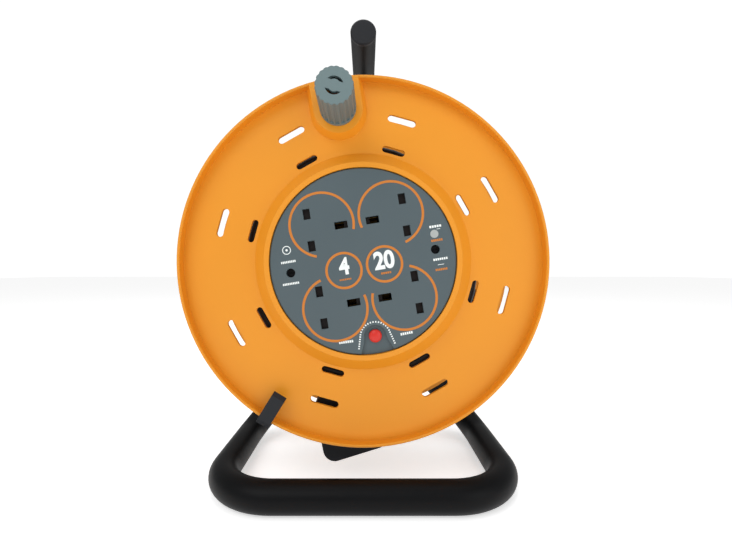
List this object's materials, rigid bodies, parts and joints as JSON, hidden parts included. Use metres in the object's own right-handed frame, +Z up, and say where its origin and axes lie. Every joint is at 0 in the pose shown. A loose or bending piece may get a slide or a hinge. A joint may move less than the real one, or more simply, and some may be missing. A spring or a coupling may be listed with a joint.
{
  "type": "extension cord reel",
  "caption": "Floor-standing cable drum on a bent steel tube stand with a carry handle, a winding knob and a panel of shuttered power sockets.",
  "frame": {"origin": "on the floor, under the middle of the reel's bounding box", "axes": "+Z up, -Y towards the user who faces the sockets, +X to that user's right"},
  "size_m": [0.256, 0.1694, 0.3399],
  "materials": {
    "black_steel": "satin black powder coat",
    "black_plastic": "moulded",
    "zinc_steel": "zinc plated",
    "orange_plastic": "moulded, semi-gloss",
    "slate_plastic": "moulded, fine grain",
    "knob_plastic": "moulded, fine grain",
    "white_plastic": "moulded",
    "brass": "bright",
    "fuse_ceramic": "ceramic body",
    "red_plastic": "glossy",
    "cable_sheath": "smooth PVC sheath",
    "brown_core": "PVC core",
    "blue_core": "PVC core",
    "green_core": "PVC core"
  },
  "bodies": {
    "stand": {"base_tube": "black_steel", "handle_tube": "black_steel", "handle_end_cap": "black_plastic", "axle_bracket": "black_plastic", "bracket_screws": "zinc_steel", "axle": "zinc_steel", "front_washer": "zinc_steel", "rear_washer": "zinc_steel", "axle_circlip": "zinc_steel"},
    "drum": {"front_flange": "orange_plastic", "drum_barrel": "orange_plastic", "rear_flange": "orange_plastic", "rear_screws": "zinc_steel", "rim_clip": "black_plastic", "socket_plate": "slate_plastic", "socket_base": "white_plastic", "live_contacts": "brass", "neutral_contacts": "brass", "earth_contacts": "brass", "plate_screws": "zinc_steel", "reset_spring": "zinc_steel", "thermal_cutout": "black_plastic", "cable_entry": "cable_sheath", "cable_clamp": "black_plastic", "clamp_screws": "zinc_steel", "live_core": "brown_core", "neutral_core": "blue_core", "earth_core": "green_core", "cable_winding": "cable_sheath", "cable_tail": "cable_sheath", "plug_body": "black_plastic", "plug_pin_live": "brass", "plug_pin_neutral": "brass", "plug_pin_earth": "brass", "plug_fuse": "fuse_ceramic", "fuse_carrier": "black_plastic", "plug_strain_relief": "black_plastic"},
    "knob": {"knob": "knob_plastic"},
    "reset_button": {"reset_button": "red_plastic"},
    "shutter_left_low": {"shutter_left_low": "white_plastic", "shutter_spring_left_low": "zinc_steel"},
    "shutter_left_high": {"shutter_left_high": "white_plastic", "shutter_spring_left_high": "zinc_steel"},
    "shutter_right_low": {"shutter_right_low": "white_plastic", "shutter_spring_right_low": "zinc_steel"},
    "shutter_right_high": {"shutter_right_high": "white_plastic", "shutter_spring_right_high": "zinc_steel"}
  },
  "joints": [
    {"name": "drum_spin", "type": "hinge", "parent": "stand", "child": "drum", "pos_m": [0, 0, 0.162], "axis": [0, 1, 0], "continuous": true},
    {"name": "knob_spin", "type": "hinge", "parent": "drum", "child": "knob", "pos_m": [-0.01719, -0.0483, 0.267], "axis": [0, 1, 0], "continuous": true},
    {"name": "reset_press", "type": "slide", "parent": "drum", "child": "reset_button", "axis": [0, 1, 0], "range_m": [0, 0.0025], "stiffness_N_per_m": 400, "springref_m": -0.002, "deforming": ["reset_spring"]},
    {"name": "shutter_left_low_slide", "type": "slide", "parent": "drum", "child": "shutter_left_low", "axis": [0.9869, 0, 0.1616], "range_m": [0, 0.0062], "stiffness_N_per_m": 100, "springref_m": -0.005},
    {"name": "shutter_left_high_slide", "type": "slide", "parent": "drum", "child": "shutter_left_high", "axis": [0.9869, 0, 0.1616], "range_m": [0, 0.0062], "stiffness_N_per_m": 100, "springref_m": -0.005},
    {"name": "shutter_right_low_slide", "type": "slide", "parent": "drum", "child": "shutter_right_low", "axis": [-0.9869, 0, -0.1616], "range_m": [0, 0.0062], "stiffness_N_per_m": 100, "springref_m": -0.005},
    {"name": "shutter_right_high_slide", "type": "slide", "parent": "drum", "child": "shutter_right_high", "axis": [-0.9869, 0, -0.1616], "range_m": [0, 0.0062], "stiffness_N_per_m": 100, "springref_m": -0.005}
  ]
}
